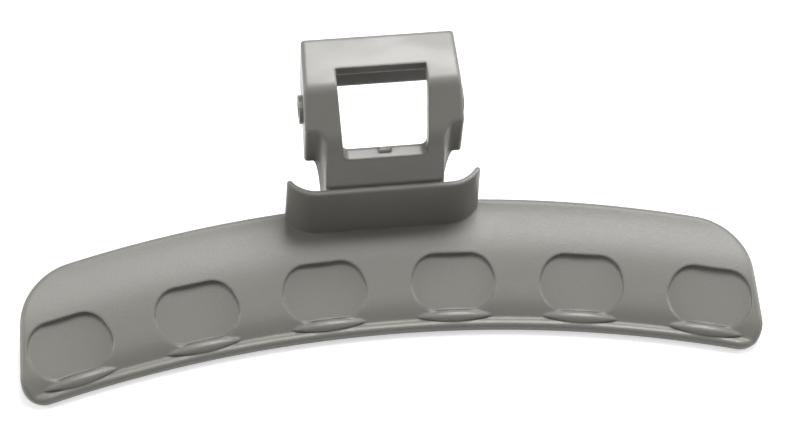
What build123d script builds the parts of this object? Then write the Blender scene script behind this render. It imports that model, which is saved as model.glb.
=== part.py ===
from build123d import *
import math
import os

# Door handle of a washing machine, moulded in one piece.
# X runs along the handle and along its pivot, Y from the finger lip to the back of the neck, and Z is the
# direction in which the mould opens. The origin is the centre of the pivot bore. All sizes are in millimetres.

# Blade: a crescent in plan, with one section turned about a far upright axis
length = 186.0
end_slant = 1.5
blade_width = 32.2
lip_arc_radius = 305.0
rim_arc_radius = 290.0
rim_corner_radius = 17.0
lip_corner_radius = 5.5
lip_height = 3.3
bead_lead = 0.3
valley_from_lip = 2.5
valley_depth = 0.3
foot_rise = 0.8
pocket_foot = 4.2
back_width = 14.2
band_start = blade_width - back_width
band_start_height = 10.2
finger_lead = 0.6
finger_from_lip = (pocket_foot + band_start) / 2 - finger_lead
finger_height = 7.4
band_step = 4.0
band_from_lip = band_start + band_step
band_height = 11.1
hollow_from_lip = band_from_lip + band_step
hollow_height = 11.6
rim_height = 13.4
rim_thickness = 3.0
outer_sag = 1.2
outer_lead = 0.65
edge_round = 1.1

# Finger pockets: a row along the blade, each with a pad at its foot for the fingertip
pocket_count = 6
pocket_pitch = 0.171 * length
pocket_margin = 0.6
pocket_head = band_start - pocket_margin
pocket_foot_depth = 0.8
pocket_head_depth = 1.7
pocket_foot_width = 26.0
pocket_head_width = 17.0
pocket_corner = (pocket_head - pocket_foot) / 2.2
scoop_radius = 55.0
pad_length = 20.0
pad_radius = 1.6
pad_from_lip = 2.9
pad_height = 3.3

# Collar: an upright wall on the blade that curls back at both ends
collar_inset = 7.0
collar_from_lip = blade_width - collar_inset
collar_height = 17.7
collar_thickness = 1.4
collar_flat = 33.0
collar_curl_radius = 8.5
collar_curl_angle = 55.0
collar_draft = 1.5
collar_edge_round = 0.5
sink = 0.8

# Neck: stem, shoulder and top plate, with side walls below
stem_width = 29.6
stem_wall = 3.0
neck_width = 39.2
neck_taper = 1.6
neck_wall = 2.6
plate = 2.8
notch_gap = 0.8
notch_from_lip = blade_width + notch_gap
notch_round = 2.7
neck_edge_round = 0.9
kink_lead = 2.7
stem_kink_from_lip = notch_from_lip - kink_lead
stem_kink_height = 43.0
shoulder_run = 7.5
shoulder_from_lip = notch_from_lip + shoulder_run
shoulder_height = 53.0
neck_depth = 21.2
top_end_from_lip = notch_from_lip + neck_depth
top_rise = 1.7
kink_radius = 10.0
shoulder_radius = 4.5
skirt_front_height = 32.5
skirt_rear_height = 37.8
stem_floor_height = 14.5

# Window through stem and top plate, with a small stop on its lower edge
window_foot_height = 37.9
window_depth = 12.4
window_end_from_lip = notch_from_lip + window_depth
window_foot_width = 20.6
window_head_width = 22.3
window_corner = 1.6
stop_width = 3.0
stop_height = 0.8

# Pivot: one bore through both side walls, with a low boss on each. Its place is the part's origin.
pivot_depth = 9.0
pivot_from_lip = notch_from_lip + pivot_depth
pivot_height = 42.0
pivot_bore = 4.1
pivot_boss = 7.2
pivot_boss_height = 0.7

lip_y = -pivot_from_lip
base_z = -pivot_height


def yz(from_lip, height):
    """A point of the section, measured from the lip and from the lowest point."""
    return (lip_y + from_lip, base_z + height)


collar_top = band_height + collar_height
root_height = band_height - sink
stem_front = collar_from_lip + collar_thickness
top_end_height = shoulder_height + top_rise
neck_rear_width = neck_width - neck_taper
tall = 2 * top_end_height
over = 2.0
stop_y = lip_y + stem_front + stem_wall + 1.5
turn_axis = Axis((0, lip_y - lip_arc_radius, 0), (0, 0, 1))
pocket_step = math.degrees(pocket_pitch / (lip_arc_radius + pocket_foot))
pocket_turns = [(i - (pocket_count - 1) / 2) * pocket_step for i in range(pocket_count)]
turn_angle = 2 * math.degrees(math.asin(length / 2 / (lip_arc_radius - length / 20)))

# Blade's core: its plan and its section, each set inwards by the rounding of the edges
with BuildPart() as core:
    with BuildSketch(Plane.YZ):
        with BuildLine():
            inner = Spline(
                yz(-over, lip_height + bead_lead - edge_round),
                yz(edge_round, lip_height - edge_round),
                yz(valley_from_lip, lip_height - valley_depth - edge_round),
                yz(pocket_foot, lip_height + foot_rise - edge_round),
                yz(finger_from_lip, finger_height - edge_round),
                yz(band_start, band_start_height - edge_round),
                yz(band_from_lip, band_height - edge_round),
                yz(hollow_from_lip, hollow_height - edge_round),
                yz(blade_width + over, rim_height + foot_rise - edge_round),
            )
            outer_end = yz(blade_width + over, rim_height - rim_thickness + edge_round)
            outer_mid = yz(blade_width / 2, (rim_height - rim_thickness) / 2 - outer_sag + edge_round)
            outer_start = yz(-over, edge_round - outer_lead)
            Line(inner @ 1, outer_end)
            ThreePointArc(outer_end, outer_mid, outer_start)
            Line(outer_start, inner @ 0)
        make_face()
    revolve(axis=turn_axis, revolution_arc=turn_angle / 2)
    mirror(about=Plane.YZ)
    with BuildSketch(Plane.XY.offset(base_z - over)) as outline:
        with BuildLine():
            rim_half = length / 2 - edge_round - end_slant
            lip_half = rim_half + end_slant * (1 + lip_corner_radius / blade_width)
            lip_mid = lip_y + edge_round
            rim_mid = lip_y + blade_width - edge_round
            lip_sag = lip_half**2 / 2 / lip_arc_radius
            rim_sag = rim_half**2 / 2 / rim_arc_radius
            ThreePointArc((-rim_half, rim_mid - rim_sag), (0, rim_mid), (rim_half, rim_mid - rim_sag))
            Line((rim_half, rim_mid - rim_sag), (lip_half, lip_mid - lip_sag))
            ThreePointArc((lip_half, lip_mid - lip_sag), (0, lip_mid), (-lip_half, lip_mid - lip_sag))
            Line((-lip_half, lip_mid - lip_sag), (-rim_half, rim_mid - rim_sag))
        make_face()
        fillet(outline.vertices().sort_by(Axis.Y)[-2:], rim_corner_radius - edge_round)
        fillet(outline.vertices().sort_by(Axis.Y)[:2], lip_corner_radius - edge_round)
    extrude(amount=tall, mode=Mode.INTERSECT)

# Blade: the core grown back to size, which rounds every edge of it
with BuildPart() as blade:
    add(core.part)
    offset(amount=edge_round, kind=Kind.ARC)

# One finger pocket's cutter: a shallow scoop with a wide foot and a narrow head
floor_foot = (pocket_foot, lip_height + foot_rise - pocket_foot_depth)
floor_head = (pocket_head, band_start_height - pocket_head_depth)
floor_slope = math.degrees(math.atan2(floor_head[1] - floor_foot[1], floor_head[0] - floor_foot[0]))
with BuildPart() as pocket:
    with BuildSketch(Plane.XY.offset(base_z)) as pocket_outline:
        with BuildLine():
            Polyline(
                (-pocket_foot_width / 2, lip_y + pocket_foot),
                (-pocket_head_width / 2, lip_y + pocket_head),
                (pocket_head_width / 2, lip_y + pocket_head),
                (pocket_foot_width / 2, lip_y + pocket_foot),
                close=True,
            )
        make_face()
        fillet(pocket_outline.vertices(), pocket_corner)
    extrude(amount=tall / 2)
    floor_y, floor_z = yz(*floor_foot)
    with Locations(Plane((0, floor_y, floor_z), x_dir=(1, 0, 0), z_dir=(0, 0, 1)).rotated((floor_slope, 0, 0))):
        with Locations((0, 0, scoop_radius)):
            Cylinder(scoop_radius, 3 * pocket_head, rotation=(90, 0, 0), mode=Mode.INTERSECT)

# One pad at the foot of a pocket, along the lip
with BuildPart() as pad:
    with BuildSketch(Plane.XY.offset(base_z + pad_height)):
        with BuildLine():
            ends = Line((-pad_length / 2, lip_y + pad_from_lip), (pad_length / 2, lip_y + pad_from_lip))
            ThreePointArc(ends @ 0, (0, lip_y + pad_from_lip + pad_radius), ends @ 1)
        make_face()
    revolve(axis=Axis((0, lip_y + pad_from_lip, base_z + pad_height), (1, 0, 0)))

# Collar
with BuildPart() as collar:
    with BuildSketch(Plane.XY.offset(base_z + collar_top)):
        with BuildLine():
            front = Line(
                (-collar_flat / 2, lip_y + collar_from_lip + collar_thickness / 2),
                (collar_flat / 2, lip_y + collar_from_lip + collar_thickness / 2),
            )
            JernArc(front @ 1, front % 1, collar_curl_radius, collar_curl_angle)
            JernArc(front @ 0, -(front % 0), collar_curl_radius, -collar_curl_angle)
            offset(amount=collar_thickness / 2)
        make_face()
    extrude(amount=-(collar_height + sink), taper=-collar_draft)
    fillet(collar.edges().group_by(Axis.Z)[-1], collar_edge_round)

# Hollow of the neck: the same plan and side view, set inwards by the walls
with BuildPart() as hollow:
    with BuildSketch(Plane.XY.offset(base_z)):
        with BuildLine():
            inner_y = lip_y + notch_from_lip + neck_wall
            Polyline(
                (-stem_width / 2 + neck_wall, lip_y + stem_front),
                (-stem_width / 2 + neck_wall, inner_y),
                (-neck_width / 2 + neck_wall, inner_y),
                (-neck_rear_width / 2 + neck_wall, lip_y + top_end_from_lip - neck_wall),
                (neck_rear_width / 2 - neck_wall, lip_y + top_end_from_lip - neck_wall),
                (neck_width / 2 - neck_wall, inner_y),
                (stem_width / 2 - neck_wall, inner_y),
                (stem_width / 2 - neck_wall, lip_y + stem_front),
                close=True,
            )
        make_face()
    extrude(amount=tall)
    with BuildSketch(Plane.YZ.offset(-neck_width)):
        with BuildLine():
            under = FilletPolyline(
                yz(stem_front + stem_wall, stem_floor_height),
                yz(stem_front + stem_wall, collar_top),
                yz(stem_kink_from_lip + stem_wall, stem_kink_height - 1),
                yz(shoulder_from_lip + 1, shoulder_height - plate),
                yz(top_end_from_lip, top_end_height - plate),
                radius=(kink_radius - stem_wall, kink_radius - stem_wall, shoulder_radius - plate),
            )
            Polyline(under @ 1, yz(top_end_from_lip, stem_floor_height), under @ 0)
        make_face()
    extrude(amount=2 * neck_width, mode=Mode.INTERSECT)

# Window: open to the front and to the top
with BuildPart() as window:
    with BuildSketch(Plane.XZ.offset(-lip_y - window_end_from_lip)) as opening:
        with BuildLine():
            Polyline(
                (-window_foot_width / 2, base_z + window_foot_height),
                (window_foot_width / 2, base_z + window_foot_height),
                (window_head_width / 2, base_z + shoulder_height),
                (window_head_width / 2, base_z + tall / 2 + plate),
                (-window_head_width / 2, base_z + tall / 2 + plate),
                (-window_head_width / 2, base_z + shoulder_height),
                close=True,
            )
        make_face()
        fillet(opening.vertices().group_by(Axis.Y)[0], window_corner)
    extrude(amount=window_end_from_lip)

# Neck: its plan and its side view together give the outside, with the pivot's bosses on its sides
with BuildPart() as neck:
    with BuildSketch(Plane.XY.offset(base_z)) as plan:
        with BuildLine():
            Polyline(
                (-stem_width / 2, lip_y + stem_front - 1),
                (-stem_width / 2, lip_y + notch_from_lip),
                (-neck_width / 2, lip_y + notch_from_lip),
                (-neck_rear_width / 2, lip_y + top_end_from_lip),
                (neck_rear_width / 2, lip_y + top_end_from_lip),
                (neck_width / 2, lip_y + notch_from_lip),
                (stem_width / 2, lip_y + notch_from_lip),
                (stem_width / 2, lip_y + stem_front - 1),
                close=True,
            )
        make_face()
        notch_line = lip_y + notch_from_lip
        notch_corners = plan.vertices().filter_by_position(Axis.Y, notch_line - 0.1, notch_line + 0.1)
        fillet(notch_corners.sort_by(Axis.X)[1:3], notch_round)
        fillet(plan.vertices().group_by(Axis.X)[0], neck_edge_round)
        fillet(plan.vertices().group_by(Axis.X)[-1], neck_edge_round)
        fillet(plan.vertices().group_by(Axis.Y)[-1], neck_edge_round)
    extrude(amount=tall)
    with BuildSketch(Plane.YZ.offset(-neck_width)):
        with BuildLine():
            outer = FilletPolyline(
                yz(stem_front, root_height),
                yz(stem_front, collar_top),
                yz(stem_kink_from_lip, stem_kink_height),
                yz(shoulder_from_lip, shoulder_height),
                yz(top_end_from_lip + 1, top_end_height),
                radius=(kink_radius, kink_radius, shoulder_radius),
            )
            Polyline(
                outer @ 1,
                yz(top_end_from_lip + 1, skirt_rear_height),
                yz(notch_from_lip, skirt_front_height),
                yz(blade_width - sink, root_height),
                outer @ 0,
            )
        make_face()
    extrude(amount=2 * neck_width, mode=Mode.INTERSECT)
    upper_faces = neck.faces().filter_by(lambda f: f.normal_at().Z > 0.4)
    fillet([e for e in upper_faces.edges() if abs((e @ 0.5).X) > stem_width / 2 + notch_round], neck_edge_round)
    Cylinder(pivot_boss / 2, neck_width + 2 * pivot_boss_height, rotation=(0, 90, 0))
    add(hollow.part, mode=Mode.SUBTRACT)
    add(window.part, mode=Mode.SUBTRACT)
    Cylinder(pivot_bore / 2, 2 * neck_width, rotation=(0, 90, 0), mode=Mode.SUBTRACT)
    with Locations((0, stop_y, base_z + window_foot_height)):
        Cylinder(stop_height, stop_width, rotation=(0, 90, 0))

# Handle
with BuildPart() as door_handle:
    add(blade.part)
    for turn in pocket_turns:
        add(pocket.part.rotate(turn_axis, turn), mode=Mode.SUBTRACT)
    for turn in pocket_turns:
        add(pad.part.rotate(turn_axis, turn))
    add(collar.part)
    add(neck.part)

os.makedirs("parts", exist_ok=True)
door_handle.part.label = "door_handle"
export_step(door_handle.part, "parts/door_handle.step")
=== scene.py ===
import bpy
import math
from mathutils import Matrix, Vector


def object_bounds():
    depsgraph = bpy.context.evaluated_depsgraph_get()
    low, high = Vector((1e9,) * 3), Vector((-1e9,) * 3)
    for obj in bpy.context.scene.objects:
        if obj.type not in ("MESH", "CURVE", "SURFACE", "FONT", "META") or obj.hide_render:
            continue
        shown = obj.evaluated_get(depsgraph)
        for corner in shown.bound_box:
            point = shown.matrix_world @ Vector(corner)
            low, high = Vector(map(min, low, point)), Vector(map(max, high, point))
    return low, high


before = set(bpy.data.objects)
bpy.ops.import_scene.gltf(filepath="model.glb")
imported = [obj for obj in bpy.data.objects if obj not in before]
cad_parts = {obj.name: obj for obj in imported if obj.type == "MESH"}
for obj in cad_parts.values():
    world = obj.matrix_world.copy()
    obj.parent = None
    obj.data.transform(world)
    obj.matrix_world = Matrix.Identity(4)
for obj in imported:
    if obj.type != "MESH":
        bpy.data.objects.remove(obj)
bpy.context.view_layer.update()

# Lengths are in metres, angles in degrees and lamp powers in watts.

# Camera: from which side it looks, how far away it is, and how far it is moved to its own right and up
view_azimuth = -10.6
view_elevation = 58.0
view_roll = 4.75
distance = 0.65
moved_right = 0.0048
moved_up = -0.0287
image_width_px = 800
focal_px = 2640.0
sensor_mm = 36.0
clip_start = 0.01

# Lamps: plain soft light from above and behind, with low fill from both sides.
# Each has a name, a place, the point it is aimed at, a diameter and a power.
lamps = (
    ("key", (0.20, 0.36, 0.93), (0, -0.01, -0.02), 0.55, 10.5),
    ("left", (-0.90, 0.15, 0.34), (0, 0, -0.02), 0.5, 5.0),
    ("right", (0.90, 0.15, 0.34), (0, 0, -0.02), 0.5, 5.0),
    ("overhead", (0.0, -0.05, 1.10), (0, -0.02, -0.03), 0.7, 1.6),
)

# Surroundings: a background that shows white but lights faintly, and a pale floor that takes the shadow
# and glows a little for the rays that show it
white = (1.0, 1.0, 1.0, 1.0)
shown_level = 1.0
world_level = 0.06
floor_size = 6.0
floor_gap = 0.0004
floor_grey = (0.70, 0.70, 0.70, 1.0)
floor_roughness = 0.9
floor_specular = 0.1
floor_glow = 0.58

# Where the finish changes: at the top of the blade, near its lip, and at every edge.
# The lip is an arc about a far upright axis, given by the axis's Y and the arc's radius, and its finish
# fades over lip_reach, measured outwards from that arc. An edge is where a round-over of edge_reach would
# turn the surface; edges are painted paler, partly as wear and partly as a painted highlight. edge_turn
# holds the cosines of that turn for none of this paling and for all of it.
blade_top = -0.0270
blade_blend = 0.001
lip_arc = (-0.347, 0.305)
lip_reach = (0.0046, 0.0062)
edge_reach = 0.0010
edge_samples = 4
edge_turn = (0.99, 0.80)

# Noise patterns of the finish, each with its scale per metre and its detail
cloud_noise = (38.0, 3.0)
mottle_noise = (1500.0, 2.0)
wear_noise = (260.0, 4.0)
streak_noise = (120.0, 3.0)
ripple_noise = (350.0, 2.0)
streak_stretch = (0.4, 1.0, 1.0)
cell_scale = 1900.0

# The part of a pattern's values that is spread over its whole effect
mottle_range = (0.2, 0.8)
wear_range = (0.40, 0.62)
streak_range = (0.38, 0.62)

# Colour: each tint is a lowest and a highest share of the colour, and the last share is how far an edge
# goes towards the paler grey, which is partly rubbed wear and partly a painted highlight along the edges
grey = (0.170, 0.164, 0.146, 1.0)
edge_wear_and_highlight_grey = (0.34, 0.335, 0.32, 1.0)
cloud_tint = (0.95, 1.05)
mottle_tint = (0.94, 1.06)
edge_wear_and_highlight_share = 0.35

# Gloss: worn_polish is what a rubbed spot loses of its roughness. Under least_roughness the denoiser
# leaves smudges.
neck_roughness = (0.28, 0.38)
blade_roughness = (0.38, 0.46)
lip_roughness = 0.28
least_roughness = 0.28
worn_polish = 0.10
refraction = 1.5

# Relief: lip_grain is the share of the blade's grain that its lip keeps
lip_grain = 0.3
ripple_height = 0.35
relief_strength = 0.35
relief_depth = 0.00004


def rotation_from_view(azimuth, elevation, roll):
    """The camera's axes for a view from this side, as a matrix with its right, up and back in columns."""
    az, el, ro = math.radians(azimuth), math.radians(elevation), math.radians(roll)
    back = Vector((math.sin(az) * math.cos(el), -math.cos(az) * math.cos(el), math.sin(el)))
    right = Vector((0, 0, 1)).cross(back).normalized()
    up = back.cross(right)
    right_rolled = math.cos(ro) * right + math.sin(ro) * up
    up_rolled = math.cos(ro) * up - math.sin(ro) * right
    return Matrix((right_rolled, up_rolled, back)).transposed()


def make_camera():
    data = bpy.data.cameras.new("camera")
    data.sensor_width = sensor_mm
    data.lens = focal_px * sensor_mm / image_width_px
    data.clip_start = clip_start
    cam = bpy.data.objects.new("camera", data)
    bpy.context.scene.collection.objects.link(cam)
    turn = rotation_from_view(view_azimuth, view_elevation, view_roll)
    right, up, back = turn.col[0], turn.col[1], turn.col[2]
    place = right * moved_right + up * moved_up + back * distance
    cam.matrix_world = Matrix.Translation(place) @ turn.to_4x4()
    bpy.context.scene.camera = cam


def area_lamp(name, place, aim, size, power):
    data = bpy.data.lights.new(name, "AREA")
    data.shape = "DISK"
    data.size = size
    data.energy = power
    lamp = bpy.data.objects.new(name, data)
    bpy.context.scene.collection.objects.link(lamp)
    lamp.location = place
    lamp.rotation_euler = (Vector(aim) - Vector(place)).to_track_quat("-Z", "Y").to_euler()


def new_material(name):
    mat = bpy.data.materials.new(name)
    mat.use_nodes = True
    mat.node_tree.nodes.clear()
    return mat, mat.node_tree.nodes, mat.node_tree.links


def feed(links, value, socket):
    """Link another node's output to a socket, or set the socket to a plain number."""
    if isinstance(value, (int, float)):
        socket.default_value = value
    else:
        links.new(value, socket)


def noise(nodes, links, vector, pattern, stretch=None):
    """A noise texture with this scale and detail over the given coordinates, stretched where asked."""
    scale, detail = pattern
    if stretch:
        mapping = nodes.new("ShaderNodeMapping")
        mapping.inputs["Scale"].default_value = stretch
        links.new(vector, mapping.inputs["Vector"])
        vector = mapping.outputs["Vector"]
    texture = nodes.new("ShaderNodeTexNoise")
    texture.inputs["Scale"].default_value = scale
    texture.inputs["Detail"].default_value = detail
    links.new(vector, texture.inputs["Vector"])
    return texture.outputs["Fac"]


def remap(nodes, links, value, from_range, to_range):
    """A value carried from one range to another, held at its ends."""
    node = nodes.new("ShaderNodeMapRange")
    node.inputs["From Min"].default_value, node.inputs["From Max"].default_value = from_range
    node.inputs["To Min"].default_value, node.inputs["To Max"].default_value = to_range
    links.new(value, node.inputs["Value"])
    return node.outputs["Result"]


def combine(nodes, links, operation, first, second):
    """Two values put together by one operation."""
    node = nodes.new("ShaderNodeMath")
    node.operation = operation
    feed(links, first, node.inputs[0])
    feed(links, second, node.inputs[1])
    return node.outputs["Value"]


def blended(nodes, links, factor, first, second):
    """The first value where the factor is 0, the second where it is 1."""
    mix = nodes.new("ShaderNodeMix")
    feed(links, factor, mix.inputs["Factor"])
    feed(links, first, mix.inputs["A"])
    feed(links, second, mix.inputs["B"])
    return mix.outputs["Result"]


def tinted(nodes, links, factor, colour, tint):
    """A colour that goes from the lower to the higher share of itself with the factor."""
    mix = nodes.new("ShaderNodeMixRGB")
    for name, share in zip(("Color1", "Color2"), tint):
        mix.inputs[name].default_value = [share * c for c in colour[:3]] + [1]
    links.new(factor, mix.inputs["Fac"])
    return mix.outputs["Color"]


def vector_node(nodes, links, operation, first):
    """A vector node for one operation, with its first vector linked."""
    node = nodes.new("ShaderNodeVectorMath")
    node.operation = operation
    links.new(first, node.inputs[0])
    return node


def plastic():
    """Warm grey moulded plastic: spark-eroded grain on the blade, a smoother neck and lip, and edges
    painted paler, partly as rubbed wear and partly as a painted highlight.
    """
    mat, nodes, links = new_material("grey_plastic")
    out = nodes.new("ShaderNodeOutputMaterial")
    bsdf = nodes.new("ShaderNodeBsdfPrincipled")
    bsdf.inputs["IOR"].default_value = refraction
    links.new(bsdf.outputs["BSDF"], out.inputs["Surface"])
    place = nodes.new("ShaderNodeTexCoord").outputs["Object"]
    split = nodes.new("ShaderNodeSeparateXYZ")
    links.new(place, split.inputs["Vector"])

    # 1 on the blade, 0 on the collar and neck
    blend = (blade_top - blade_blend, blade_top + blade_blend)
    on_blade = remap(nodes, links, split.outputs["Z"], blend, (1.0, 0.0))

    # 1 on the blade's lip with its pads, which hands keep smooth
    axis_y, lip_radius = lip_arc
    flat = nodes.new("ShaderNodeCombineXYZ")
    links.new(split.outputs["X"], flat.inputs["X"])
    links.new(split.outputs["Y"], flat.inputs["Y"])
    from_axis = vector_node(nodes, links, "DISTANCE", flat.outputs["Vector"])
    from_axis.inputs[1].default_value = (0.0, axis_y, 0.0)
    from_lip = combine(nodes, links, "SUBTRACT", from_axis.outputs["Value"], lip_radius)
    on_lip = remap(nodes, links, from_lip, lip_reach, (1.0, 0.0))

    # Rubbed edges with a painted highlight: where a small round-over would turn the surface most. This mask
    # pales the edges, partly as wear and partly as a painted highlight, and smooths them
    bevel = nodes.new("ShaderNodeBevel")
    bevel.samples = edge_samples
    bevel.inputs["Radius"].default_value = edge_reach
    plain = nodes.new("ShaderNodeNewGeometry")
    turned = vector_node(nodes, links, "DOT_PRODUCT", bevel.outputs["Normal"])
    links.new(plain.outputs["Normal"], turned.inputs[1])
    edge = remap(nodes, links, turned.outputs["Value"], edge_turn, (0.0, 1.0))
    patchy = remap(nodes, links, noise(nodes, links, place, wear_noise), wear_range, (0.0, 1.0))
    edge_wear_and_highlight = combine(nodes, links, "MULTIPLY", edge, patchy)

    # Colour: slow clouds from the melt, a fine mottle from the grain, and paler edges, partly where rubbed
    # and partly as a painted highlight
    clouds = noise(nodes, links, place, cloud_noise)
    mottle = noise(nodes, links, place, mottle_noise)
    both = nodes.new("ShaderNodeMixRGB")
    both.blend_type = "MULTIPLY"
    both.inputs["Fac"].default_value = 1.0
    links.new(tinted(nodes, links, clouds, grey, cloud_tint), both.inputs["Color1"])
    links.new(tinted(nodes, links, mottle, white, mottle_tint), both.inputs["Color2"])
    # The edges go part way to the paler grey: partly wear, partly a painted highlight along the edges
    rubbed_and_highlighted = nodes.new("ShaderNodeMixRGB")
    rubbed_and_highlighted.inputs["Color2"].default_value = edge_wear_and_highlight_grey
    links.new(combine(nodes, links, "MULTIPLY", edge_wear_and_highlight, edge_wear_and_highlight_share), rubbed_and_highlighted.inputs["Fac"])
    links.new(both.outputs["Color"], rubbed_and_highlighted.inputs["Color1"])
    links.new(rubbed_and_highlighted.outputs["Color"], bsdf.inputs["Base Color"])

    # Roughness: duller on the grained blade, patchy on the neck, smooth on the lip and where rubbed
    streaks = noise(nodes, links, place, streak_noise, stretch=streak_stretch)
    neck_part = remap(nodes, links, streaks, streak_range, neck_roughness)
    blade_part = remap(nodes, links, mottle, mottle_range, blade_roughness)
    all_over = blended(nodes, links, on_blade, neck_part, blade_part)
    with_lip = blended(nodes, links, on_lip, all_over, lip_roughness)
    polish = combine(nodes, links, "MULTIPLY", edge_wear_and_highlight, worn_polish)
    polished = combine(nodes, links, "SUBTRACT", with_lip, polish)
    links.new(combine(nodes, links, "MAXIMUM", polished, least_roughness), bsdf.inputs["Roughness"])

    # Relief: leathery cells on the blade, fainter on its lip, and a faint ripple all over
    cells = nodes.new("ShaderNodeTexVoronoi")
    cells.inputs["Scale"].default_value = cell_scale
    links.new(place, cells.inputs["Vector"])
    leather = combine(nodes, links, "ADD", cells.outputs["Distance"], mottle)
    off_lip = remap(nodes, links, on_lip, (0.0, 1.0), (1.0, lip_grain))
    grained = combine(nodes, links, "MULTIPLY", on_blade, off_lip)
    height = combine(nodes, links, "MULTIPLY", leather, grained)
    ripple = combine(nodes, links, "MULTIPLY", noise(nodes, links, place, ripple_noise), ripple_height)
    bump = nodes.new("ShaderNodeBump")
    bump.inputs["Strength"].default_value = relief_strength
    bump.inputs["Distance"].default_value = relief_depth
    links.new(combine(nodes, links, "ADD", height, ripple), bump.inputs["Height"])
    links.new(bevel.outputs["Normal"], bump.inputs["Normal"])
    links.new(bump.outputs["Normal"], bsdf.inputs["Normal"])
    return mat


def shown(nodes, links):
    """1 for rays that show the background: straight from the camera, off gloss or through glass."""
    path = nodes.new("ShaderNodeLightPath")
    gloss = combine(nodes, links, "MAXIMUM", path.outputs["Is Camera Ray"], path.outputs["Is Glossy Ray"])
    return combine(nodes, links, "MAXIMUM", gloss, path.outputs["Is Transmission Ray"])


def background(nodes, level):
    node = nodes.new("ShaderNodeBackground")
    node.inputs["Color"].default_value = white
    node.inputs["Strength"].default_value = level
    return node.outputs["Background"]


def set_world():
    world = bpy.data.worlds.new("studio")
    world.use_nodes = True
    nodes, links = world.node_tree.nodes, world.node_tree.links
    nodes.clear()
    out = nodes.new("ShaderNodeOutputWorld")
    mix = nodes.new("ShaderNodeMixShader")
    links.new(shown(nodes, links), mix.inputs["Fac"])
    links.new(background(nodes, world_level), mix.inputs[1])
    links.new(background(nodes, shown_level), mix.inputs[2])
    links.new(mix.outputs["Shader"], out.inputs["Surface"])
    bpy.context.scene.world = world


def make_floor():
    """A plain pale floor just under the handle's lowest point."""
    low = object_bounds()[0][2]
    bpy.ops.mesh.primitive_plane_add(size=floor_size, location=(0, 0, low - floor_gap))
    floor = bpy.context.active_object
    floor.name = "floor"
    mat, nodes, links = new_material("floor_white")
    out = nodes.new("ShaderNodeOutputMaterial")
    bsdf = nodes.new("ShaderNodeBsdfPrincipled")
    bsdf.inputs["Base Color"].default_value = floor_grey
    bsdf.inputs["Roughness"].default_value = floor_roughness
    bsdf.inputs["Specular IOR Level"].default_value = floor_specular
    glow = nodes.new("ShaderNodeEmission")
    glow.inputs["Color"].default_value = white
    glow_level = combine(nodes, links, "MULTIPLY", shown(nodes, links), floor_glow)
    links.new(glow_level, glow.inputs["Strength"])
    both = nodes.new("ShaderNodeAddShader")
    links.new(bsdf.outputs["BSDF"], both.inputs[0])
    links.new(glow.outputs["Emission"], both.inputs[1])
    links.new(both.outputs["Shader"], out.inputs["Surface"])
    floor.data.materials.append(mat)


finish = plastic()
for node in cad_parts.values():
    for slot in node.material_slots:
        slot.material = finish

make_camera()
make_floor()
set_world()
for lamp in lamps:
    area_lamp(*lamp)
bpy.context.scene.view_settings.view_transform = "Standard"
